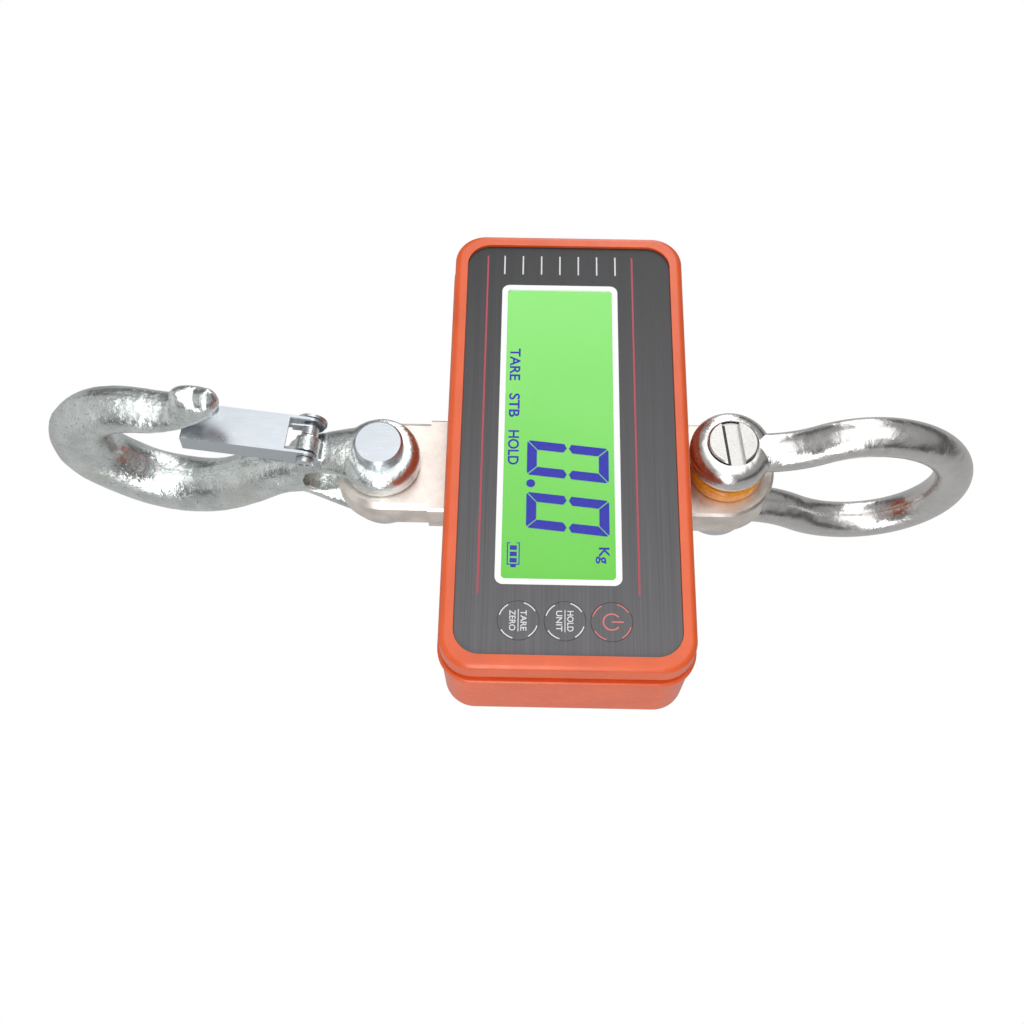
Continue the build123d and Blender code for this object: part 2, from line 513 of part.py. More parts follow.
def batteries():
    """Three AA cells, each turned end for end from its neighbour."""
    cells = []
    for i, x in enumerate(cell_places()):
        nub, body = 1.0, AA_LENGTH - 1.0
        cell = Cylinder(AA_R, body)
        cell = fillet(cell.edges(), 0.5)
        cell = Pos(0, 0, -nub / 2) * cell + Pos(0, 0, body / 2) * Cylinder(2.75, nub)
        cells.append(Pos(x, BAY_Y, 0) * (Rot(180 * (i % 2), 0, 0) * cell))
    return at_housing(Compound(cells))


def battery_contacts():
    """A spring at each cell's flat end and a plate at its other end."""
    contacts = []
    wall = BAY_H / 2
    for i, x in enumerate(cell_places()):
        flat_side = 1 if i % 2 else -1
        for side in (-1, 1):
            z = side * (wall - CONTACT_T / 2)
            plate = block(11, 10, CONTACT_T, x, BAY_Y, z)
            reach = wall - CONTACT_T - AA_LENGTH / 2
            length = reach - 0.05
            if side == flat_side:
                spring = Cone(3.6, 2.2, length) if side < 0 else Cone(2.2, 3.6, length)
            else:
                spring = Cylinder(2.4, length)
            plate += Pos(x, BAY_Y, side * (wall - CONTACT_T - length / 2)) * spring
            contacts.append(plate)
    return at_housing(Compound(contacts))


def door_screw_places():
    return [(BAY_X, side * (DOOR_H / 2 - 2.9)) for side in (-1, 1)]


def battery_door():
    door = slab(rounded(DOOR_W, DOOR_H, 3, BAY_X, 0), SHELL_BACK_Y - DOOR_T, SHELL_BACK_Y)
    for x, z in door_screw_places():
        door -= pin_y(1.4, SHELL_BACK_Y - 3, SHELL_BACK_Y + 1, x, z)
        door -= pin_y(2.3, SHELL_BACK_Y - 1.0, SHELL_BACK_Y + 1, x, z)
    for i in range(5):
        door -= slab(rounded(20, 1.0, 0.49, BAY_X, -20 + i * 2.2), SHELL_BACK_Y - 0.5, SHELL_BACK_Y + 1)
    return at_housing(door)


def door_gasket():
    ring = rounded(DOOR_W - 0.4, DOOR_H - 0.4, 2.8, BAY_X, 0) - rounded(BAY_W, BAY_H, 2, BAY_X, 0)
    for x, z in door_screw_places():
        ring -= Pos(x, z) * Circle(1.6)
    return at_housing(slab(ring, DOOR_SEAT_Y, DOOR_SEAT_Y + DOOR_GASKET_T))


def door_screws():
    one = screw(2.2, 1.0, 1.2, 3.4)
    screws = [Pos(x, SHELL_BACK_Y, z) * one for x, z in door_screw_places()]
    return at_housing(Compound(screws))


def lid_screws():
    """Long screws from the back of the shell into the lid's corner bosses."""
    one = screw(2.8, 1.8, 1.4, SHELL_BACK_Y - FLANGE_Y + 2.6)
    places = [(sx * LID_BOSS_X, SHELL_BACK_Y - SCREW_RECESS, sz * LID_BOSS_Z) for sx, sz in CORNERS]
    return at_housing(Compound([Pos(*place) * one for place in places]))


def cell_bolts():
    """Four bolts from the back of the shell into the bar."""
    length_in_bar = 5.0
    length = SHELL_BACK_Y - CELL_BOLT_SINK - BAR_HALF_T + length_in_bar
    one = screw(3.8, 2.4, CELL_BOLT_R, length)
    places = [(sx * CELL_BOLT_X, SHELL_BACK_Y - SCREW_RECESS, sz * CELL_BOLT_Z) for sx, sz in CORNERS]
    return at_housing(Compound([Pos(*place) * one for place in places]))


# ---------------------------------------------------------------- hook
def section(reach, depth, lean, half_deep, half_wide):
    """An elliptical section of the hook; lean is the turn of its normal from straight down."""
    normal = (0, -sin(radians(lean)), -cos(radians(lean)))
    place = Plane(origin=(0, -reach, -depth), x_dir=(1, 0, 0), z_dir=normal)
    return place * Ellipse(half_wide, half_deep)


def round_hook(centre_reach, centre_depth, radius, turn):
    """A section on one of the hook's arcs; turn grows from the back, round below, to the front."""
    reach = centre_reach - radius * cos(radians(turn))
    depth = centre_depth + radius * sin(radians(turn))
    towards_neck = max(0, -turn) / -BACK_START
    deep_to_front = max(0, turn - DEEP_TAPER_FROM) / (BOWL_END - DEEP_TAPER_FROM)
    wide_to_front = max(0, turn - WIDE_TAPER_FROM) / (BOWL_END - WIDE_TAPER_FROM)
    deep = HOOK_HALF_DEEP - 0.9 * towards_neck - 5.0 * deep_to_front
    wide = HOOK_HALF_WIDE - 1.1 * towards_neck - 1.9 * wide_to_front
    return section(reach, depth, turn, deep, wide)


def spaced(start, end, count):
    """Evenly spaced values, both ends included."""
    return [start + (end - start) * i / (count - 1) for i in range(count)]


def hook_sections():
    """Sections from the neck, down the back, round the bowl and out to the tip."""
    rows = [section(0, FORK_DEPTH - 1, 0, 9.8, 8.2)]
    rows.append(section(NECK_REACH, NECK_DEPTH, NECK_TURN, 10.2, 8.3))
    rows += [round_hook(BACK_REACH, BACK_DEPTH, BACK_R, turn) for turn in spaced(BACK_START, BACK_END, 5)]
    rows += [round_hook(BOWL_REACH, BOWL_DEPTH, BOWL_R, turn) for turn in spaced(BOWL_START, BOWL_END, 5)]
    rows.append(section(POINT_REACH, POINT_DEPTH, POINT_TURN, 5.9, 6.9))
    rows.append(section(TIP_REACH, TIP_DEPTH, TIP_TURN, TIP_R - 0.05, TIP_R + 0.3))
    return rows


def fork_arm():
    """One arm of the fork, from its eye down into the neck, on the -Y side. Its eye and its
    sections blend into the neck section by section: reach, depth, turn, half sizes."""
    barrel = eye(EAR_R, FORK_IN_Y, FORK_OUT_Y, 4.4, 1.2, 0)
    rows = [section(FORK_MID_Y, 2, 0, 4.9, 11.5), section(FORK_MID_Y, 13, 0, 5.0, 9.6)]
    rows.append(section(FORK_MID_Y - 2.0, 21, -24, 5.2, 7.8))
    rows.append(section(4.6, 31, -38, 5.4, 7.6))
    return barrel + loft(rows)


def hook():
    """Forged clevis hook: fork, neck, bowl, tip and the lug that carries the latch."""
    arm = fork_arm()
    body = loft(hook_sections())
    body += Pos(0, -TIP_REACH, -TIP_DEPTH) * Sphere(TIP_R)
    body += arm + mirror(arm, about=Plane.XZ)
    lug_w, lug_x = LUG_X1 - LUG_X0, (LUG_X0 + LUG_X1) / 2
    body += block(lug_w, LUG_ROOT, 2 * LUG_R, lug_x, -HINGE_REACH + LUG_ROOT / 2, -HINGE_DEPTH)
    body += Pos(lug_x, -HINGE_REACH, -HINGE_DEPTH) * Rot(0, 90, 0) * Cylinder(LUG_R, lug_w)
    slot_half = FORK_IN_Y
    slot_len = FORK_DEPTH - slot_half
    slot = block(3 * EAR_R, 2 * slot_half, slot_len + 20, 0, 0, -slot_len / 2 + 10)
    slot += Pos(0, 0, -slot_len) * Rot(0, 90, 0) * Cylinder(slot_half, 3 * EAR_R)
    body -= slot
    for y in (-FORK_OUT_Y - CLEVIS_TAIL, FORK_OUT_Y):
        body -= pin_y(CLEVIS_HEAD_R + 0.6, y, y + CLEVIS_TAIL)
    body -= pin_y(CLEVIS_PIN_R + PIN_FIT, -2 * FORK_OUT_Y, 2 * FORK_OUT_Y)
    body -= Pos(0, -HINGE_REACH, -HINGE_DEPTH) * Rot(0, 90, 0) * Cylinder(LATCH_PIN_R + PIN_FIT, 40)
    return at_clevis(body)


def clevis_pin():
    """Headed pin through the fork and the bar, with a cross hole for the cotter."""
    head = pin_y(CLEVIS_HEAD_R, -FORK_OUT_Y - CLEVIS_HEAD_H, -FORK_OUT_Y)
    head = chamfer(head.edges().filter_by(GeomType.CIRCLE).sort_by(Axis.Y)[0], 0.8)
    shank = pin_y(CLEVIS_PIN_R, -FORK_OUT_Y, FORK_OUT_Y + CLEVIS_TAIL)
    shank = chamfer(shank.edges().filter_by(GeomType.CIRCLE).sort_by(Axis.Y)[-1], 1.0)
    hole = Pos(0, COTTER_Y, 0) * Rot(0, 90, 0) * Cylinder(COTTER_R + PIN_FIT, 4 * CLEVIS_PIN_R)
    return at_clevis(head + shank - hole)


def clevis_cotter():
    """Split pin through the end of the clevis pin, with its eye on one side."""
    legs = Pos(-1.2, COTTER_Y, 0) * Rot(0, 90, 0) * Cylinder(COTTER_R, 18)
    loop = ring_y(2.2, 0.8, COTTER_Y, -11.8)
    return at_clevis(legs + loop)


# ---------------------------------------------------------------- latch
def at_hinge(shape):
    """From the latch hinge's own frame, on the hook."""
    return at_clevis(Pos(0, -HINGE_REACH, -HINGE_DEPTH) * shape)


LATCH_WEB_REACH = 5.0              # hinge line to the latch's outer face
EAR_ROUND = 4.7                    # radius of its ears about the hinge line
EAR_INNER = 4.0                    # hinge line to the ears' inner edge
BRIDGE_H = 7.0                     # from the hinge line down to the web


def latch():
    """Bent sheet latch: a flat web with two side walls that end in ears on the hinge pin."""
    length = LATCH_END_DEPTH - HINGE_DEPTH
    web_y = -LATCH_WEB_REACH
    web_length = length - BRIDGE_H
    part = block(LATCH_W, LATCH_T, web_length, 0, web_y + LATCH_T / 2, -(length + BRIDGE_H) / 2)
    for side in (-1, 1):
        x = side * (LATCH_W - LATCH_T) / 2
        wall = block(LATCH_T, LATCH_SIDE, length - 4, x, web_y + LATCH_SIDE / 2, -(length + 4) / 2)
        ear = Pos(x, 0, 0) * Rot(0, 90, 0) * Cylinder(EAR_ROUND, LATCH_T)
        bridge_mid = (web_y + EAR_INNER) / 2
        bridge = block(LATCH_T, LATCH_WEB_REACH + EAR_INNER, BRIDGE_H, x, bridge_mid, -BRIDGE_H / 2)
        part += wall + ear + bridge
    part -= Rot(0, 90, 0) * Cylinder(LATCH_PIN_R + 0.1, 2 * LATCH_W)
    return at_hinge(Rot(-LATCH_LEAN, 0, 0) * part)


def latch_pin():
    """Cross-recessed screw with a broad mushroom head on its far end."""
    half = LATCH_W / 2 + 0.2
    pin = Rot(0, 90, 0) * Cylinder(LATCH_PIN_R, 2 * half)
    near = Pos(half + 0.9, 0, 0) * Rot(0, 90, 0) * Cylinder(3.1, 1.8)
    near -= Pos(half + 1.6, 0, 0) * Box(1.2, 0.9, 3.4)
    near -= Pos(half + 1.6, 0, 0) * Box(1.2, 3.4, 0.9)
    far = Pos(-half - 0.5, 0, 0) * Rot(0, 90, 0) * Cylinder(5.4, 1.0)
    far += Pos(-half - 1.4, 0, 0) * Rot(0, -90, 0) * Cone(4.6, 2.6, 0.8)
    return at_hinge(pin + near + far)


SPRING_WIRE, SPRING_R, SPRING_TURNS, SPRING_PITCH = 0.45, 2.6, 4, 0.78


def latch_spring():
    """Torsion spring on the hinge pin, between the lug and the far ear."""
    start = -LATCH_W / 2 + LATCH_T + 0.8
    coils = [Pos(start + i * SPRING_PITCH, 0, 0) * Rot(0, 90, 0) * Torus(SPRING_R, SPRING_WIRE)
             for i in range(SPRING_TURNS)]
    spring = coils[0]
    for coil in coils[1:]:
        spring += coil
    leg = Pos(start, -SPRING_R + 0.1, -3.5) * Cylinder(SPRING_WIRE * 0.8, 9)
    return at_hinge(spring + leg)


# ---------------------------------------------------------------- export
def build():
    """Write every node to its own file."""
    nodes = {"shackle_bow": shackle_bow, "shackle_pin": shackle_pin}
    nodes["spacer_washer_front"] = lambda: spacer_washer("front")
    nodes["spacer_washer_rear"] = lambda: spacer_washer("rear")
    for maker in (load_cell, gauge_potting, gauge_lead, front_lid, rear_shell, lid_gasket, cell_seals,
                  rear_label, overlay_panel, lcd_bezel, lcd_window, lcd_glass, lcd_backlight, lcd_pins,
                  main_board, board_screws, tact_switches, board_chips, buzzer, lead_plug,
                  battery_holder, batteries, battery_contacts, battery_door, door_gasket, door_screws,
                  lid_screws, cell_bolts, hook, clevis_pin, clevis_cotter, latch, latch_pin,
                  latch_spring):
        nodes[maker.__name__] = maker
    for name in KEY_Z:
        nodes["key_" + name] = lambda name=name: key(name)
    os.makedirs("parts", exist_ok=True)
    for name, maker in nodes.items():
        export_step(maker(), f"parts/{name}.step")


build()
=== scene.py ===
import json
from math import atan2, cos, pi, radians, sin, tau

import bmesh
import bpy
from mathutils import Matrix, Vector, noise

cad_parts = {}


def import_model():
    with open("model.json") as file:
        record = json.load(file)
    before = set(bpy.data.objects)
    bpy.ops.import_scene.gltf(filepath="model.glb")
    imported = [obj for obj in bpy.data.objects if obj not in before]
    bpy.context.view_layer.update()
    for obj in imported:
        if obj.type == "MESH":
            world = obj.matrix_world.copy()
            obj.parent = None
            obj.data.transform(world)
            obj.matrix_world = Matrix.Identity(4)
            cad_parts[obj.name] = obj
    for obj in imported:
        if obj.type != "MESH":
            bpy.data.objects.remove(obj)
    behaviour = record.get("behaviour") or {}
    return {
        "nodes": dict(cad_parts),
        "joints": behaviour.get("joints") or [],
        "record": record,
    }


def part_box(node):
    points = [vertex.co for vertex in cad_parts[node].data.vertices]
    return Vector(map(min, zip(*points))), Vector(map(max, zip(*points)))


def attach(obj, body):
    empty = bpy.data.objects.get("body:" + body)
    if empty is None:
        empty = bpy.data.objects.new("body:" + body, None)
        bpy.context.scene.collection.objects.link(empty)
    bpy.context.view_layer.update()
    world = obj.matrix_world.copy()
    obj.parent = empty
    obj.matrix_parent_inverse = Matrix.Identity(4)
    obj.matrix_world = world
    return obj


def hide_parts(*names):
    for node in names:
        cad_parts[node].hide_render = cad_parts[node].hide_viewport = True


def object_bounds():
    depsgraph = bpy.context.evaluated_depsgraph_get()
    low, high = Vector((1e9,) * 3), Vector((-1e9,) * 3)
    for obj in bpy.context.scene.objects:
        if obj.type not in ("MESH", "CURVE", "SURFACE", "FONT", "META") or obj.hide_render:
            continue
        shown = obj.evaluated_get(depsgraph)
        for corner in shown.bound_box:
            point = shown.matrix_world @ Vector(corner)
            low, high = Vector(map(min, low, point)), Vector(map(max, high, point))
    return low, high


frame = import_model()
CAD_LO, CAD_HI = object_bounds()
NODES = frame["nodes"]
JOINTS = {joint["name"]: joint for joint in frame["joints"]}
MM = 0.001

# The scale hangs with its load line along Z and its display towards -Y.


# ---------------------------------------------------------------- places taken from the frame
def middle(node):
    """Middle of a CAD node's box."""
    low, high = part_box(node)
    return (low + high) / 2


PANEL = middle("overlay_panel")
PANEL_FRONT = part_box("overlay_panel")[0].y
DISPLAY = middle("lcd_bezel")
GLASS_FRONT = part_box("lcd_glass")[0].y
KEYS = {name: middle("key_" + name) for name in ("tare", "hold", "power")}
CLEVIS = Vector(JOINTS["hook_swing"]["pos_m"])
HINGE = Vector(JOINTS["latch_open"]["pos_m"])
HINGE_LINE = Vector(JOINTS["latch_open"]["axis"])

# The hook rests a few degrees off plumb, so its pieces are worked out in a frame that leans with it.
HOOK_LEAN = atan2(-HINGE_LINE.z, HINGE_LINE.x)
HOOK_FRAME = Matrix.Translation(CLEVIS) @ Matrix.Rotation(HOOK_LEAN, 4, "Y")
FROM_ROW = HOOK_FRAME.inverted()
HINGE_PLACE = FROM_ROW @ HINGE


# ---------------------------------------------------------------- materials: a small node helper
class Surface:
    """A principled material being built. add() makes a node; inputs that are sockets are linked."""

    def __init__(self, name, **settings):
        self.material = bpy.data.materials.new(name)
        self.material.use_nodes = True
        self.tree = self.material.node_tree
        self.tree.nodes.clear()
        out = self.tree.nodes.new("ShaderNodeOutputMaterial")
        self.bsdf = self.tree.nodes.new("ShaderNodeBsdfPrincipled")
        self.tree.links.new(self.bsdf.outputs["BSDF"], out.inputs["Surface"])
        for key, value in settings.items():
            self.set(key.replace("_", " "), value)

    def set(self, socket, value):
        self._feed(self.bsdf.inputs[socket], value)

    def _feed(self, socket, value):
        if isinstance(value, bpy.types.NodeSocket):
            self.tree.links.new(value, socket)
        elif socket.type == "RGBA" and len(value) == 3:
            socket.default_value = (*value, 1.0)
        else:
            socket.default_value = value

    def add(self, kind, inputs, output=0, **settings):
        node = self.tree.nodes.new("ShaderNode" + kind)
        for key, value in settings.items():
            setattr(node, key, value)
        for key, value in inputs.items():
            self._feed(node.inputs[key], value)
        return node.outputs[output]

    def place(self, stretch=(1, 1, 1)):
        """The point on the surface in millimetres, stretched along the axes."""
        point = self.add("TexCoord", {}, "Object")
        scale = tuple(s / MM for s in stretch)
        return self.add("Mapping", {"Vector": point, "Scale": scale})

    def noise(self, scale, detail=3.0, stretch=(1, 1, 1), roughness=0.5, distortion=0.0):
        inputs = {"Vector": self.place(stretch), "Scale": scale, "Detail": detail}
        inputs.update({"Roughness": roughness, "Distortion": distortion})
        return self.add("TexNoise", inputs, "Fac")

    def cells(self, scale):
        """Distance to the nearest of a scatter of points."""
        return self.add("TexVoronoi", {"Vector": self.place(), "Scale": scale}, "Distance")

    def remap(self, value, low, high, to_low, to_high):
        inputs = {"Value": value, "From Min": low, "From Max": high, "To Min": to_low, "To Max": to_high}
        return self.add("MapRange", inputs)

    def maths(self, operation, a, b=0.5):
        return self.add("Math", {0: a, 1: b}, operation=operation)

    def blend(self, factor, a, b):
        node = self.tree.nodes.new("ShaderNodeMix")
        node.data_type = "RGBA"
        self._feed(node.inputs[0], factor)
        self._feed(node.inputs[6], a)
        self._feed(node.inputs[7], b)
        return node.outputs[2]

    def bump(self, height, depth_mm, strength=1.0, after=None):
        inputs = {"Height": height, "Distance": depth_mm * MM, "Strength": strength}
        if after is not None:
            inputs["Normal"] = after
        return self.add("Bump", inputs)

    def finish(self, normal=None):
        if normal is not None:
            self.set("Normal", normal)
        return self.material


# ---------------------------------------------------------------- materials
def orange_paint():
    """Semi-gloss powder coat: fine orange peel, slight cloudiness, a few light dust specks."""
    s = Surface("orange_paint", Specular_IOR_Level=0.6, Coat_Roughness=0.22)
    s.set("Coat Weight", 0.15)
    cloud = s.remap(s.noise(0.06, 4), 0.3, 0.7, 0.0, 1.0)
    colour = s.blend(cloud, (0.68, 0.088, 0.012), (0.78, 0.110, 0.018))
    speck = s.remap(s.cells(0.55), 0.0, 0.07, 1.0, 0.0)
    patch = s.remap(s.noise(0.15, 2), 0.56, 0.62, 0.0, 0.55)
    colour = s.blend(s.maths("MULTIPLY", speck, patch), colour, (1.0, 0.55, 0.38))
    s.set("Base Color", colour)
    s.set("Roughness", s.remap(s.noise(0.5, 3), 0.3, 0.7, 0.28, 0.40))
    peel = s.bump(s.noise(1.5, 2), 0.035, 0.5)
    return s.finish(s.bump(s.noise(0.11, 2), 0.12, 0.25, peel))


def overlay_print(name="overlay_print"):
    """Anthracite film with brush lines under a satin lacquer; its colour is a shade lighter towards the keys,
    which is a painted reflection.
    """
    s = Surface(name, Specular_IOR_Level=0.5)
    lines = s.noise(1.0, 6, (0.018, 1.0, 2.6), 0.62)
    broad = s.noise(1.0, 3, (0.006, 1.0, 0.35))
    tone = s.maths("ADD", s.remap(lines, 0.25, 0.75, 0.0, 0.75), s.remap(broad, 0.3, 0.7, 0.0, 0.25))
    brushed = s.blend(tone, (0.008, 0.009, 0.010), (0.026, 0.027, 0.030))
    painted_reflection_end = s.blend(tone, (0.070, 0.067, 0.072), (0.150, 0.146, 0.154))
    # The blend along X below is a painted reflection: the film turns lighter towards the keys.
    low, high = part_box("overlay_panel")
    along = s.add("SeparateXYZ", {"Vector": s.place()}, "X")
    s.set("Base Color", s.blend(s.remap(along, low.x / MM, high.x / MM, 0.0, 1.0), brushed, painted_reflection_end))
    s.set("Roughness", s.remap(lines, 0.2, 0.8, 0.34, 0.50))
    return s.finish(s.bump(lines, 0.02, 0.35))


def white_border():
    s = Surface("white_border")
    tone = s.noise(0.8, 3)
    s.set("Base Color", s.blend(tone, (0.86, 0.87, 0.88), (0.93, 0.93, 0.93)))
    s.set("Roughness", s.remap(tone, 0.3, 0.7, 0.30, 0.42))
    return s.finish(s.bump(s.noise(2.5, 2), 0.01, 0.3))


def clear_window():
    """Thin acrylic pane, nearly invisible but for its gloss and faint wipe marks."""
    s = Surface("clear_window", Base_Color=(0.9, 0.98, 0.9), Alpha=0.03, Specular_IOR_Level=0.12)
    smear = s.noise(0.10, 4, (1.0, 1.0, 0.25))
    s.set("Roughness", s.remap(smear, 0.3, 0.7, 0.04, 0.16))
    return s.finish()


def display_glass():
    """Lit display: paler towards the left end, deeper green to the right."""
    s = Surface("display_glass", Roughness=0.5, Specular_IOR_Level=0.1)
    low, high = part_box("lcd_glass")
    point = s.place()
    along = s.add("SeparateXYZ", {"Vector": point}, "X")
    share = s.remap(along, low.x / MM, high.x / MM, 0.0, 1.0)
    lamp = s.maths("ADD", share, s.remap(s.noise(0.03, 2), 0.3, 0.7, -0.05, 0.05))
    green = s.blend(lamp, (0.26, 0.80, 0.17), (0.10, 0.56, 0.015))
    grain = s.remap(s.noise(3.0, 2), 0.3, 0.7, 0.97, 1.03)
    s.set("Base Color", (0.05, 0.12, 0.04))
    s.set("Emission Color", green)
    s.set("Emission Strength", s.maths("MULTIPLY", grain, 0.93))
    return s.finish(s.bump(s.noise(4.0, 2), 0.004, 0.3))


def display_ink():
    s = Surface("display_ink", Roughness=0.6, Specular_IOR_Level=0.05)
    tone = s.noise(0.5, 2)
    ink = s.blend(tone, (0.002, 0.001, 0.20), (0.003, 0.002, 0.26))
    s.set("Base Color", ink)
    s.set("Emission Color", ink)
    s.set("Emission Strength", 0.8)
    return s.finish()


def print_ink(name, dark, light):
    """Screen-printed ink: slightly raised and uneven."""
    s = Surface(name, Roughness=0.42)
    tone = s.noise(4.0, 3)
    s.set("Base Color", s.blend(s.remap(tone, 0.3, 0.7, 0.0, 1.0), dark, light))
    return s.finish(s.bump(s.noise(9.0, 2), 0.006, 0.4))


def polished_steel():
    """Bent and polished stainless rod: mirror-like with shallow waves, haze and fine scratches."""
    s = Surface("polished_steel", Metallic=1.0)
    haze = s.noise(0.35, 4)
    s.set("Base Color", s.blend(haze, (0.60, 0.585, 0.57), (0.76, 0.75, 0.735)))
    s.set("Roughness", s.remap(haze, 0.3, 0.75, 0.16, 0.32))
    waves = s.bump(s.noise(0.16, 4, distortion=0.8), 0.45, 0.7)
    pits = s.bump(s.noise(1.2, 5, roughness=0.6), 0.035, 0.4, waves)
    scratch = s.noise(1.0, 4, (0.4, 9.0, 0.4))
    return s.finish(s.bump(scratch, 0.01, 0.3, pits))


def pin_steel():
    """Turned steel with faint rings and blotches."""
    s = Surface("pin_steel", Metallic=1.0)
    blotch = s.noise(0.4, 5, roughness=0.6)
    s.set("Base Color", s.blend(blotch, (0.44, 0.43, 0.42), (0.68, 0.67, 0.65)))
    s.set("Roughness", s.remap(blotch, 0.3, 0.7, 0.20, 0.36))
    return s.finish(s.bump(s.noise(1.3, 5, roughness=0.7), 0.04, 0.4))


def amber_plastic():
    s = Surface("amber_plastic", Subsurface_Weight=0.35, Subsurface_Radius=(0.004, 0.0015, 0.0004))
    s.set("Coat Weight", 0.3)
    swirl = s.noise(0.3, 3, distortion=1.2)
    s.set("Base Color", s.blend(swirl, (0.62, 0.200, 0.004), (0.88, 0.370, 0.012)))
    s.set("Roughness", s.remap(s.noise(1.0, 3), 0.3, 0.7, 0.22, 0.36))
    return s.finish(s.bump(s.noise(1.8, 3), 0.02, 0.4))


def nickel_plate():
    """Blasted and nickel-plated bar: warm satin metal with a fine grain that is darker in spots."""
    s = Surface("nickel_plate", Metallic=1.0)
    grain = s.noise(5.0, 3)
    stain = s.noise(0.12, 5, roughness=0.6)
    tone = s.blend(s.remap(stain, 0.35, 0.65, 0.0, 1.0), (0.74, 0.67, 0.61), (0.94, 0.88, 0.82))
    s.set("Base Color", s.blend(s.remap(grain, 0.50, 0.75, 0.0, 0.5), tone, (0.38, 0.32, 0.28)))
    s.set("Roughness", s.remap(stain, 0.3, 0.7, 0.34, 0.48))
    return s.finish(s.bump(grain, 0.03, 0.5))


def forged_zinc():
    """Bright zinc over a forged skin: rough grain, soft hammer marks, dark flecks and pits."""
    s = Surface("forged_zinc", Metallic=1.0)
    cloud = s.noise(0.09, 5, roughness=0.6)
    tone = s.blend(s.remap(cloud, 0.3, 0.7, 0.0, 1.0), (0.58, 0.62, 0.61), (0.88, 0.92, 0.91))
    warm = s.remap(s.noise(0.05, 3), 0.52, 0.75, 0.0, 0.4)
    tone = s.blend(warm, tone, (0.74, 0.70, 0.58))
    fleck = s.remap(s.noise(1.5, 5, roughness=0.7), 0.57, 0.65, 0.0, 1.0)
    where = s.remap(s.noise(0.22, 3), 0.40, 0.55, 0.15, 0.95)
    fleck = s.maths("MULTIPLY", fleck, where)
    s.set("Base Color", s.blend(fleck, tone, (0.10, 0.105, 0.10)))
    s.set("Roughness", s.remap(s.noise(0.7, 4), 0.3, 0.7, 0.14, 0.28))
    dents = s.bump(s.noise(0.40, 4), 0.40, 0.7)
    grain = s.bump(s.noise(1.3, 6, roughness=0.65), 0.14, 0.6, dents)
    return s.finish(s.bump(fleck, -0.06, 0.6, grain))


def zinc_sheet():
    """Cold-formed sheet with bright zinc: soft rolling lines and a bluish cast."""
    s = Surface("zinc_sheet", Metallic=1.0)
    rolled = s.noise(1.0, 4, (2.2, 2.2, 0.08))
    s.set("Base Color", s.blend(rolled, (0.50, 0.54, 0.58), (0.62, 0.66, 0.70)))
    s.set("Roughness", s.remap(s.noise(0.3, 3), 0.3, 0.7, 0.26, 0.34))
    return s.finish(s.bump(s.noise(0.8, 2), 0.012, 0.3))


def zinc_screw():
    s = Surface("zinc_screw", Metallic=1.0)
    blotch = s.noise(1.2, 4)
    s.set("Base Color", s.blend(blotch, (0.50, 0.51, 0.52), (0.78, 0.79, 0.80)))
    s.set("Roughness", s.remap(blotch, 0.3, 0.7, 0.22, 0.40))
    return s.finish(s.bump(s.noise(3.0, 3), 0.02, 0.5))


def moulded(name, dark, light, roughness=0.5, grain_mm=0.02):
    """Moulded plastic or rubber with a fine spark-eroded grain."""
    s = Surface(name)
    tone = s.noise(0.5, 3)
    s.set("Base Color", s.blend(tone, dark, light))
    s.set("Roughness", s.remap(s.noise(1.5, 2), 0.3, 0.7, roughness - 0.07, roughness + 0.07))
    return s.finish(s.bump(s.noise(4.5, 3), grain_mm, 0.5))


def contact_metal():
    s = Surface("contact_metal", Metallic=1.0)
    tone = s.noise(1.4, 4)
    s.set("Base Color", s.blend(tone, (0.72, 0.60, 0.34), (0.88, 0.80, 0.60)))
    s.set("Roughness", s.remap(tone, 0.3, 0.7, 0.25, 0.42))
    return s.finish(s.bump(s.noise(3.0, 3), 0.01, 0.4))


def board_green():
    """Solder mask with a hint of copper tracks below it."""
    s = Surface("board_green", Roughness=0.32)
    tracks = s.add("TexBrick", {"Vector": s.place(), "Scale": 0.35, "Mortar Size": 0.05}, "Fac")
    s.set("Base Color", s.blend(tracks, (0.010, 0.115, 0.040), (0.035, 0.24, 0.085)))
    return s.finish(s.bump(tracks, 0.02, 0.5))


def battery_wrap():
    """Cell sleeve in two plain bands."""
    s = Surface("battery_wrap", Metallic=0.4, Roughness=0.3)
    low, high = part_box("batteries")
    height = s.add("SeparateXYZ", {"Vector": s.place()}, "Z")
    band = s.remap(height, (low.z * 0.35 + high.z * 0.65) / MM, (low.z * 0.34 + high.z * 0.66) / MM, 0.0, 1.0)
    tint = s.blend(s.noise(0.6, 2), (0.020, 0.026, 0.040), (0.035, 0.045, 0.070))
    s.set("Base Color", s.blend(band, tint, (0.72, 0.50, 0.24)))
    return s.finish(s.bump(s.noise(1.0, 2), 0.01, 0.3))


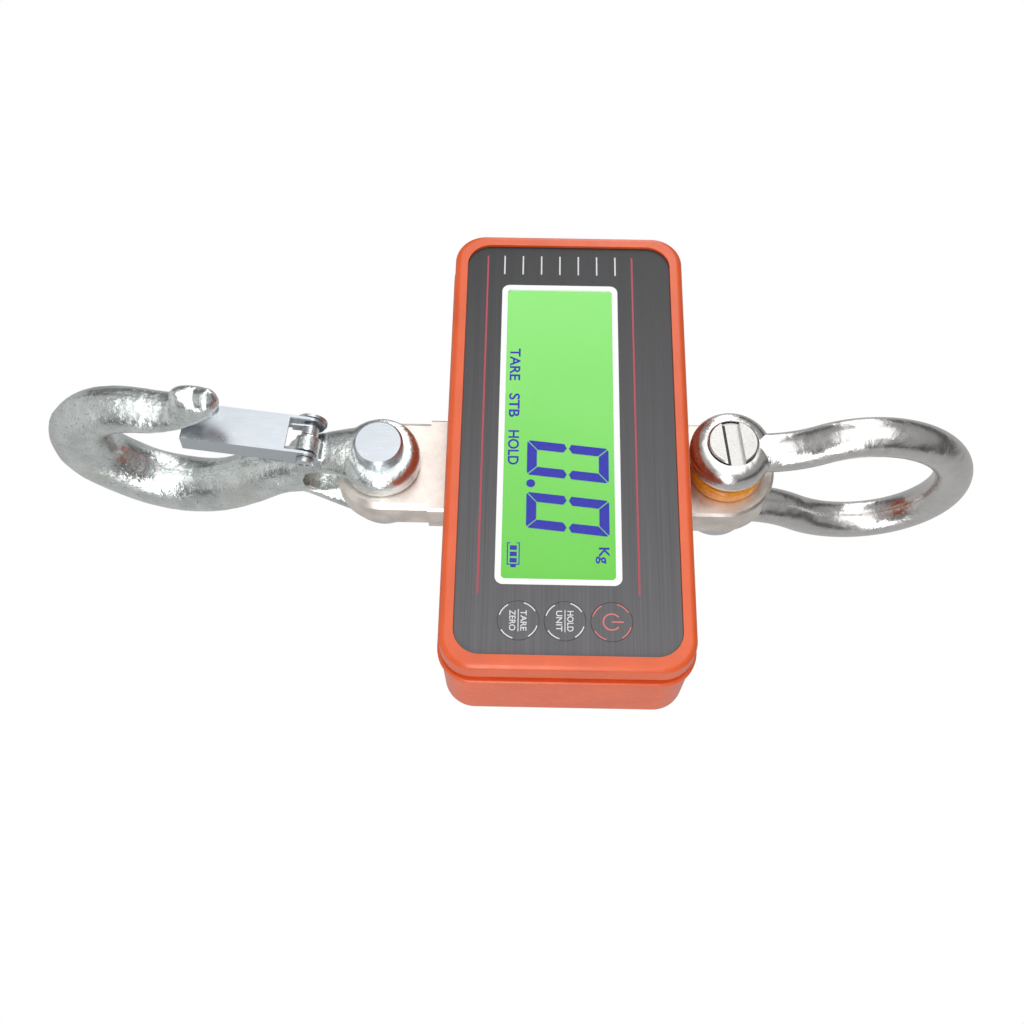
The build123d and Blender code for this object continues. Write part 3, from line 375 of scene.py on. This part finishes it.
def slot_materials():
    """One material for each of the record's slots."""
    return {
        "orange_paint": orange_paint(),
        "overlay_print": overlay_print(),
        "white_border": white_border(),
        "clear_window": clear_window(),
        "display_glass": display_glass(),
        "polished_steel": polished_steel(),
        "pin_steel": pin_steel(),
        "amber_plastic": amber_plastic(),
        "nickel_plate": nickel_plate(),
        "forged_zinc": forged_zinc(),
        "zinc_sheet": zinc_sheet(),
        "zinc_screw": zinc_screw(),
        "contact_metal": contact_metal(),
        "board_green": board_green(),
        "battery_wrap": battery_wrap(),
        "sealant": moulded("sealant", (0.72, 0.72, 0.69), (0.84, 0.84, 0.80), 0.45, 0.05),
        "cable_jacket": moulded("cable_jacket", (0.020, 0.020, 0.022), (0.035, 0.035, 0.038), 0.5),
        "black_rubber": moulded("black_rubber", (0.014, 0.014, 0.014), (0.028, 0.028, 0.028), 0.62),
        "black_plastic": moulded("black_plastic", (0.018, 0.018, 0.020), (0.032, 0.032, 0.035), 0.45),
        "light_guide": moulded("light_guide", (0.62, 0.86, 0.56), (0.76, 0.94, 0.70), 0.4),
        "label_film": moulded("label_film", (0.50, 0.51, 0.52), (0.62, 0.63, 0.64), 0.38, 0.01),
    }


MATERIALS = slot_materials()


def dress_nodes():
    """Gives every CAD node its slot's material."""
    for part in frame["record"]["subparts"]:
        mesh = NODES[part["node"]].data
        mesh.materials.clear()
        mesh.materials.append(MATERIALS[part["material_slot"]])


# ---------------------------------------------------------------- making pieces
def new_piece(name, mesh, material, body):
    """Links a finished mesh as a piece that rides on a CAD body."""
    piece = bpy.data.objects.new(name, mesh)
    bpy.context.scene.collection.objects.link(piece)
    mesh.materials.clear()
    mesh.materials.append(material)
    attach(piece, body)
    return piece


def apply_modifiers(piece):
    graph = bpy.context.evaluated_depsgraph_get()
    mesh = bpy.data.meshes.new_from_object(piece.evaluated_get(graph))
    piece.modifiers.clear()
    piece.data = mesh


def flat_print(name, shapes, front, thick, material, body, slot):
    """Thin raised print facing -Y. Each shape is an outline of (x, z) points in metres."""
    bm = bmesh.new()
    for shape in shapes:
        ring = [bm.verts.new((x, front + thick, z)) for x, z in shape]
        face = bm.faces.new(ring)
        raised = bmesh.ops.extrude_face_region(bm, geom=[face])["geom"]
        verts = [item for item in raised if isinstance(item, bmesh.types.BMVert)]
        bmesh.ops.translate(bm, vec=(0, -thick, 0), verts=verts)
    bmesh.ops.recalc_face_normals(bm, faces=bm.faces)
    mesh = bpy.data.meshes.new(name)
    bm.to_mesh(mesh)
    bm.free()
    return new_piece(name, mesh, material, body)


def bar_shape(x0, z0, x1, z1):
    """A rectangle between two corners."""
    return [(x0, z0), (x1, z0), (x1, z1), (x0, z1)]


def disc_shape(x, z, radius, steps=28):
    return [(x + radius * cos(tau * i / steps), z + radius * sin(tau * i / steps)) for i in range(steps)]


def arc_shape(x, z, inner, outer, start, end, steps=20):
    """Part of a ring; start and end in degrees, counter-clockwise from +X."""
    angles = [radians(start + (end - start) * i / steps) for i in range(steps + 1)]
    outside = [(x + outer * cos(a), z + outer * sin(a)) for a in angles]
    inside = [(x + inner * cos(a), z + inner * sin(a)) for a in reversed(angles)]
    return outside + inside


def words(name, text, x, z, cap, width, front, thick, material, body, slot, weight=0.0):
    """Lettering facing -Y, its lower left corner at (x, z), scaled to a cap height and a width."""
    curve = bpy.data.curves.new(name, "FONT")
    curve.body = text
    curve.size = 1.0
    curve.offset = weight
    curve.extrude = 0.5
    holder = bpy.data.objects.new(name + "_curve", curve)
    bpy.context.scene.collection.objects.link(holder)
    graph = bpy.context.evaluated_depsgraph_get()
    mesh = bpy.data.meshes.new_from_object(holder.evaluated_get(graph))
    bpy.data.objects.remove(holder)
    mesh.name = name
    left = min(v.co.x for v in mesh.vertices)
    right = max(v.co.x for v in mesh.vertices)
    cap_height = 0.729
    for vertex in mesh.vertices:
        across = (vertex.co.x - left) / (right - left) * width
        up = vertex.co.y / cap_height * cap
        depth = front + (0.5 - vertex.co.z) * thick
        vertex.co = (x + across, depth, z + up)
    bm = bmesh.new()
    bm.from_mesh(mesh)
    bmesh.ops.recalc_face_normals(bm, faces=bm.faces)
    bm.to_mesh(mesh)
    bm.free()
    return new_piece(name, mesh, material, body)


# ---------------------------------------------------------------- panel print
PRINT_RAISE = 0.03 * MM
PRINT_THICK = 0.05 * MM
INK_WHITE = print_ink("ink_white", (0.60, 0.60, 0.62), (0.80, 0.80, 0.82))
INK_RED = print_ink("ink_red", (0.40, 0.035, 0.055), (0.52, 0.060, 0.085))
INK_PINK = print_ink("ink_pink", (0.60, 0.13, 0.13), (0.72, 0.20, 0.20))

TICK_COUNT, TICK_PITCH, TICK_LONG, TICK_WIDE = 7, 6.66, 8.1, 0.5
TICK_X = -70.85                   # from the middle of the panel, in mm
RULE_OFFSET, RULE_WIDE, RULE_LEFT, RULE_RIGHT = 26.05, 0.6, -74.8, 58.1


def panel_print():
    """Tick marks at the left end and a red rule above and below the display."""
    front = PANEL_FRONT - PRINT_RAISE
    ticks = []
    for i in range(TICK_COUNT):
        z = DISPLAY.z + (i - (TICK_COUNT - 1) / 2) * TICK_PITCH * MM
        x = PANEL.x + TICK_X * MM
        half_long, half_wide = TICK_LONG / 2 * MM, TICK_WIDE / 2 * MM
        ticks.append(bar_shape(x - half_long, z - half_wide, x + half_long, z + half_wide))
    flat_print("print_ticks", ticks, front, PRINT_THICK, INK_WHITE, "scale_body", "white_border")
    rules = []
    for side in (-1, 1):
        z = DISPLAY.z + side * RULE_OFFSET * MM
        half = RULE_WIDE / 2 * MM
        rules.append(bar_shape(PANEL.x + RULE_LEFT * MM, z - half, PANEL.x + RULE_RIGHT * MM, z + half))
    flat_print("print_rules", rules, front, PRINT_THICK, INK_RED, "scale_body", "overlay_print")


RING_INNER, RING_OUTER = 6.05, 6.45
RING_ARC, RING_TURN = 43, 52.5     # degrees: length of each arc, and where the first is centred
LABEL_CAP, LABEL_WIDE, LABEL_LINE = 2.05, 7.0, 0.28


def key_rings(place):
    """Four arcs just inside a key's edge."""
    shapes = []
    for i in range(4):
        mid = RING_TURN + 90 * i
        ends = (mid - RING_ARC / 2, mid + RING_ARC / 2)
        shapes.append(arc_shape(place.x, place.z, RING_INNER * MM, RING_OUTER * MM, *ends))
    return shapes


def key_label(name, upper, lower):
    """A key with two words and a line between them."""
    place, body = KEYS[name], "key_" + name
    front = PANEL_FRONT - PRINT_RAISE
    half = (LABEL_WIDE + 0.6) / 2 * MM
    half_line = LABEL_LINE / 2 * MM
    line = bar_shape(place.x - half, place.z - half_line, place.x + half, place.z + half_line)
    shapes = key_rings(place) + [line]
    flat_print(body + "_ring", shapes, front, PRINT_THICK, INK_WHITE, body, "white_border")
    x = place.x - LABEL_WIDE / 2 * MM
    for word, z in ((upper, 0.75), (lower, -0.75 - LABEL_CAP)):
        words(body + "_" + word.lower(), word, x, place.z + z * MM, LABEL_CAP * MM, LABEL_WIDE * MM,
              front, PRINT_THICK, INK_WHITE, body, "white_border", 0.012)


def power_key():
    """A key with the usual open ring and upright bar."""
    place = KEYS["power"]
    shapes = key_rings(place)
    shapes.append(arc_shape(place.x, place.z, 2.45 * MM, 2.95 * MM, 128, 412, 40))
    shapes.append(bar_shape(place.x - 0.25 * MM, place.z, place.x + 0.25 * MM, place.z + 3.8 * MM))
    front = PANEL_FRONT - PRINT_RAISE
    flat_print("key_power_ring", shapes, front, PRINT_THICK, INK_PINK, "key_power", "overlay_print")


# ---------------------------------------------------------------- display
INK_DISPLAY = display_ink()
LAYER_FRONT, LAYER_THICK = GLASS_FRONT - 0.04 * MM, 0.045 * MM
DIGIT_W, DIGIT_H, STROKE, SEGMENT_GAP = 13.2, 27.6, 3.35, 0.22
DIGIT_SLANT = radians(6.0)
DIGIT_LEFT, DIGIT_BASE, DIGIT_PITCH = 4.85, -10.8, 19.7     # from the middle of the display
POINT_R = 1.5


def digit_zero(left, base):
    """The six lit segments of a slanted seven-segment zero."""
    w, h, t, g, c = DIGIT_W, DIGIT_H, STROKE, SEGMENT_GAP, 0.7
    foot = [(c + g, 0), (w - c - g, 0), (w - 0.3 - g, 0.3), (w - t - g, t), (t + g, t), (0.3 + g, 0.3)]
    side = [(0.3, 0.3 + g), (t, t + g), (t, h / 2 - t * 0.45), (t / 2, h / 2 - 0.35), (0, h / 2 - t * 0.35)]
    side.append((0, c + g))
    pieces = [foot, [(x, h - z) for x, z in foot]]
    pieces += [side, [(w - x, z) for x, z in side]]
    pieces += [[(x, h - z) for x, z in side], [(w - x, h - z) for x, z in side]]
    lean = sin(DIGIT_SLANT) / cos(DIGIT_SLANT)
    placed = []
    for outline in pieces:
        placed.append([(left + (x + z * lean) * MM, base + z * MM) for x, z in outline])
    return placed


def battery_icon(x, z):
    """Outline of a cell with three bars and a cap, its lower left corner at (x, z)."""
    wide, high, line = 8.0 * MM, 4.2 * MM, 0.36 * MM
    shapes = [bar_shape(x, z, x + wide, z + line), bar_shape(x, z + high - line, x + wide, z + high)]
    shapes.append(bar_shape(x + wide - line, z + line, x + wide, z + high - line))
    for part in (z + line, z + high - line - 0.7 * MM):
        shapes.append(bar_shape(x, part, x + line, part + 0.7 * MM))
    shapes.append(bar_shape(x + wide, z + high / 2 - 0.9 * MM, x + wide + 0.9 * MM, z + high / 2 + 0.9 * MM))
    for i in range(3):
        left = x + (1.1 + i * 2.25) * MM
        shapes.append(bar_shape(left, z + 0.95 * MM, left + 1.6 * MM, z + high - 0.95 * MM))
    return shapes


def display():
    """Reading, unit, function words and battery icon on the display glass.

    Each row of words gives its x and z from the middle of the display, cap height and width, in mm.
    """
    left = DISPLAY.x + DIGIT_LEFT * MM
    base = DISPLAY.z + DIGIT_BASE * MM
    shapes = digit_zero(left, base) + digit_zero(left + DIGIT_PITCH * MM, base)
    shapes.append(disc_shape(left + 16.5 * MM, base + 1.4 * MM, POINT_R * MM))
    shapes += battery_icon(DISPLAY.x + 43.2 * MM, DISPLAY.z - 16.85 * MM)
    layer = (LAYER_FRONT, LAYER_THICK, INK_DISPLAY, "scale_body", "display_glass")
    flat_print("display_segments", shapes, *layer)
    rows = [("TARE", -31.9, -17.2, 3.7, 13.1), ("STB", -13.5, -17.2, 3.7, 9.4)]
    rows += [("HOLD", 1.1, -17.2, 3.7, 13.3), ("Kg", 44.5, 13.3, 3.5, 5.8)]
    for text, x, z, cap, width in rows:
        x, z = DISPLAY.x + x * MM, DISPLAY.z + z * MM
        words("display_" + text.lower(), text, x, z, cap * MM, width * MM, *layer, 0.02)


# ---------------------------------------------------------------- hook
HOOK_VOXEL = 0.5 * MM
FORK_HALF_GAP = 7.7 * MM
FORK_DEPTH = 29 * MM
PIN_BORE_KEEP = 9.4 * MM           # skin this near the clevis pin's line stays true
HINGE_KEEP = 6.0 * MM              # and this near the latch's hinge line
FLASH_HALF_WIDTH = 1.6 * MM        # the flash line, either side of the hook's middle plane
FLASH_FROM_DEPTH = 40 * MM
SKIN_INSET = 0.15                  # mean height of the skin below the CAD's face, mm


def is_worked(point):
    """True where the hook is machined or faces a neighbour; the point is in the hook's own frame."""
    from_pin = Vector((point.x, point.z)).length
    from_hinge = Vector((point.y - HINGE_PLACE.y, point.z - HINGE_PLACE.z)).length
    in_fork = abs(point.y) < FORK_HALF_GAP and -point.z < FORK_DEPTH
    return from_pin < PIN_BORE_KEEP or from_hinge < HINGE_KEEP or in_fork


def forged_hook():
    """The hook as forged: junctions melted together, a lumpy skin and a trimmed flash line.

    Lumps are in mm. The skin is held inside the CAD hook's own box.
    """
    mesh = NODES["hook"].data.copy()
    piece = bpy.data.objects.new("hook_forged", mesh)
    bpy.context.scene.collection.objects.link(piece)
    remesh = piece.modifiers.new("remesh", "REMESH")
    remesh.mode = "VOXEL"
    remesh.voxel_size = HOOK_VOXEL
    smooth = piece.modifiers.new("smooth", "SMOOTH")
    smooth.factor = 0.5
    smooth.iterations = 8
    apply_modifiers(piece)
    mesh = piece.data
    low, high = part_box("hook")
    normals = [vertex.normal.copy() for vertex in mesh.vertices]
    for vertex, normal in zip(mesh.vertices, normals):
        point = FROM_ROW @ vertex.co
        if is_worked(point):
            continue
        lumps = noise.noise(point / (7.0 * MM)) * 0.12 + noise.noise(point / (2.2 * MM)) * 0.05
        on_middle = abs(point.x) < FLASH_HALF_WIDTH and abs(normal.x) < 0.35
        if on_middle and -point.z > FLASH_FROM_DEPTH:
            lumps += 0.10 + 0.45 * max(0.0, noise.noise(point / (3.2 * MM)))
        moved = vertex.co + normal * ((lumps - SKIN_INSET) * MM)
        vertex.co = [min(max(value, a), b) for value, a, b in zip(moved, low, high)]
    for face in mesh.polygons:
        face.use_smooth = True
    mesh.materials.clear()
    mesh.materials.append(MATERIALS["forged_zinc"])
    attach(piece, "hook")
    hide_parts("hook")


# ---------------------------------------------------------------- shackle pin
SLOT_HALF_LENGTH, SLOT_HALF_WIDTH, SLOT_DEPTH, SLOT_TURN = 7.8, 3.1, 2.4, 6.0
# Width of the painted shade band beside the slot's wall, in mm.
SLOT_SHADE_WIDTH = 1.5


def slot_painted_shade():
    """Painted shade: a dark line in one corner of the pin head's driver slot, lying on the slot's floor where
    the slot's wall shades it.
    """
    pin_z = JOINTS["shackle_swing"]["pos_m"][2]
    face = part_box("shackle_pin")[0].y
    turn = radians(SLOT_TURN)
    near, far = -SLOT_HALF_WIDTH, -SLOT_HALF_WIDTH + SLOT_SHADE_WIDTH
    shape = []
    for along, across in bar_shape(-SLOT_HALF_LENGTH, near, SLOT_HALF_LENGTH, far):
        x = along * cos(turn) - across * sin(turn)
        z = along * sin(turn) + across * cos(turn)
        shape.append((x * MM, pin_z + z * MM))
    # This dark colour is painted shade on the slot's floor beside its wall.
    ink = print_ink("slot_painted_shade", (0.010, 0.010, 0.010), (0.045, 0.040, 0.036))
    front = face + (SLOT_DEPTH - 0.06) * MM
    flat_print("slot_painted_shade", [shape], front, PRINT_THICK, ink, "shackle", "pin_steel")


# ---------------------------------------------------------------- latch spring
SPRING_WIRE, SPRING_R, SPRING_TURNS, SPRING_STEPS = 0.42, 2.55, 4.5, 24
SPRING_X0, SPRING_X1 = -5.1, -1.8   # between the far ear and the lug


def tube(name, points, radius, material, body):
    """A round wire through a list of points."""
    curve = bpy.data.curves.new(name, "CURVE")
    curve.dimensions = "3D"
    curve.bevel_depth = radius
    curve.bevel_resolution = 4
    curve.use_fill_caps = True
    spline = curve.splines.new("POLY")
    spline.points.add(len(points) - 1)
    for target, point in zip(spline.points, points):
        target.co = (*point, 1.0)
    holder = bpy.data.objects.new(name + "_curve", curve)
    bpy.context.scene.collection.objects.link(holder)
    graph = bpy.context.evaluated_depsgraph_get()
    mesh = bpy.data.meshes.new_from_object(holder.evaluated_get(graph))
    bpy.data.objects.remove(holder)
    for face in mesh.polygons:
        face.use_smooth = True
    return new_piece(name, mesh, material, body)


def latch_spring():
    """Wound torsion spring with one leg down the latch and one against the hook."""
    x0, x1 = SPRING_X0 * MM, SPRING_X1 * MM
    radius = SPRING_R * MM
    count = int(SPRING_TURNS * SPRING_STEPS)
    points = [Vector((x0, -radius, -8.0 * MM))]
    for i in range(count + 1):
        turn = tau * i / SPRING_STEPS
        x = x0 + (x1 - x0) * i / count
        points.append(Vector((x, -radius * cos(turn), radius * sin(turn))))
    points.append(Vector((x1, radius, -3.0 * MM)))
    points = [HOOK_FRAME @ (HINGE_PLACE + point) for point in points]
    piece = tube("latch_spring_wire", points, SPRING_WIRE * MM, MATERIALS["zinc_screw"], "hook")
    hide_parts("latch_spring")


# ---------------------------------------------------------------- back label
ROW_CAP, ROW_PITCH, ROW_LETTER, LABEL_MARGIN = 2.6, 5.4, 2.1, 3.5


def label_print():
    """Generic rating lines on the plate at the back."""
    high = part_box("rear_label")[1]
    ink = print_ink("ink_black", (0.02, 0.02, 0.02), (0.05, 0.05, 0.05))
    rows = ["MAX 300 kg", "MIN 1 kg", "d = 0.1 kg", "3 x AA 1.5 V"]
    for i, text in enumerate(rows):
        z = high.z - (i + 1) * ROW_PITCH * MM
        piece = words("label_row_" + str(i), text, 0, 0, ROW_CAP * MM, ROW_LETTER * MM * len(text),
                      0, PRINT_THICK, ink, "scale_body", "label_film", 0.01)
        turn = Matrix.Rotation(pi, 4, "Z")
        place = Matrix.Translation((high.x - LABEL_MARGIN * MM, high.y + PRINT_RAISE, z))
        piece.data.transform(place @ turn)


# ---------------------------------------------------------------- studio
def camera():
    """Looks at the display from its right-hand side, with the shackle to the right of the frame."""
    aim = Vector((PANEL.x + 28.9 * MM, PANEL_FRONT, PANEL.z - 18.6 * MM))
    turn, rise, roll = radians(25.84), radians(0.47), radians(1.04)
    distance = 435.4 * MM
    back = Vector((sin(turn) * cos(rise), -cos(turn) * cos(rise), sin(rise)))
    right = (Vector((0, 0, 1)) - back * back.z).normalized()
    up = back.cross(right)
    right, up = right * cos(roll) + up * sin(roll), up * cos(roll) - right * sin(roll)
    data = bpy.data.cameras.new("camera")
    data.lens = 46.3
    data.sensor_width = 36.0
    data.clip_start = 0.01
    camera_object = bpy.data.objects.new("camera", data)
    bpy.context.scene.collection.objects.link(camera_object)
    rows = Matrix((right, up, back)).transposed()
    camera_object.matrix_world = Matrix.Translation(aim + back * distance) @ rows.to_4x4()
    bpy.context.scene.camera = camera_object


def softbox(name, place, aim, width, height, power):
    """A white rectangular area light that faces a point."""
    data = bpy.data.lights.new(name, "AREA")
    data.shape = "RECTANGLE"
    data.size, data.size_y = width, height
    data.energy = power
    light = bpy.data.objects.new(name, data)
    bpy.context.scene.collection.objects.link(light)
    light.location = place
    direction = Vector(aim) - Vector(place)
    light.rotation_mode = "QUATERNION"
    light.rotation_quaternion = direction.to_track_quat("-Z", "Y")


def world():
    """White sweep: bright behind the object, greyer to the sides, so the metal has something to show."""
    sky = bpy.data.worlds.new("studio")
    bpy.context.scene.world = sky
    sky.use_nodes = True
    tree = sky.node_tree
    tree.nodes.clear()
    out = tree.nodes.new("ShaderNodeOutputWorld")
    coord = tree.nodes.new("ShaderNodeTexCoord")
    split = tree.nodes.new("ShaderNodeSeparateXYZ")
    tree.links.new(coord.outputs["Generated"], split.inputs[0])
    share = tree.nodes.new("ShaderNodeMapRange")
    share.inputs["From Min"].default_value = -1.0
    share.inputs["From Max"].default_value = 1.0
    tree.links.new(split.outputs["Y"], share.inputs["Value"])
    ramp = tree.nodes.new("ShaderNodeValToRGB")
    stops = [(0.0, 0.40), (0.28, 0.38), (0.40, 0.09), (0.50, 0.12), (0.60, 0.46), (1.0, 0.55)]
    ramp.color_ramp.elements[0].position, ramp.color_ramp.elements[1].position = stops[0][0], stops[-1][0]
    for place, _ in stops[1:-1]:
        ramp.color_ramp.elements.new(place)
    for element, (_, value) in zip(ramp.color_ramp.elements, stops):
        element.color = (value, value, value, 1.0)
    tree.links.new(share.outputs["Result"], ramp.inputs["Fac"])
    around = tree.nodes.new("ShaderNodeBackground")
    tree.links.new(ramp.outputs["Color"], around.inputs["Color"])
    seen = tree.nodes.new("ShaderNodeBackground")
    seen.inputs["Color"].default_value = (1, 1, 1, 1)
    path = tree.nodes.new("ShaderNodeLightPath")
    mix = tree.nodes.new("ShaderNodeMixShader")
    tree.links.new(path.outputs["Is Camera Ray"], mix.inputs[0])
    tree.links.new(around.outputs[0], mix.inputs[1])
    tree.links.new(seen.outputs[0], mix.inputs[2])
    tree.links.new(mix.outputs[0], out.inputs["Surface"])


def floor():
    """Pale round floor well below the hanging scale."""
    mesh = bpy.data.meshes.new("floor")
    bm = bmesh.new()
    bmesh.ops.create_circle(bm, cap_ends=True, segments=96, radius=0.55)
    bm.to_mesh(mesh)
    bm.free()
    disc = bpy.data.objects.new("floor", mesh)
    bpy.context.scene.collection.objects.link(disc)
    disc.location = (0, 0, CAD_LO.z - 0.45)
    s = Surface("floor", Roughness=0.6)
    s.set("Base Color", s.blend(s.noise(0.02, 3), (0.80, 0.80, 0.80), (0.84, 0.84, 0.84)))
    mesh.materials.append(s.finish())


def lights():
    """A broad soft key in front of the display and a strip at each end of the housing.

    "top" and "low" are named after the main view, in which -X is at the top.
    """
    aim = (0, 0, PANEL.z)
    softbox("key", (0.08, -1.15, PANEL.z), aim, 1.65, 1.2, 8.0)
    softbox("top", (-0.9, -0.45, PANEL.z + 0.1), aim, 1.2, 0.35, 3.5)
    softbox("low", (0.95, -0.30, PANEL.z - 0.1), aim, 1.2, 0.30, 6.0)


# ---------------------------------------------------------------- the scene
dress_nodes()
panel_print()
key_label("tare", "TARE", "ZERO")
key_label("hold", "HOLD", "UNIT")
power_key()
display()
forged_hook()
slot_painted_shade()
latch_spring()
label_print()
world()
lights()
floor()
camera()
bpy.context.scene.view_settings.view_transform = "Standard"
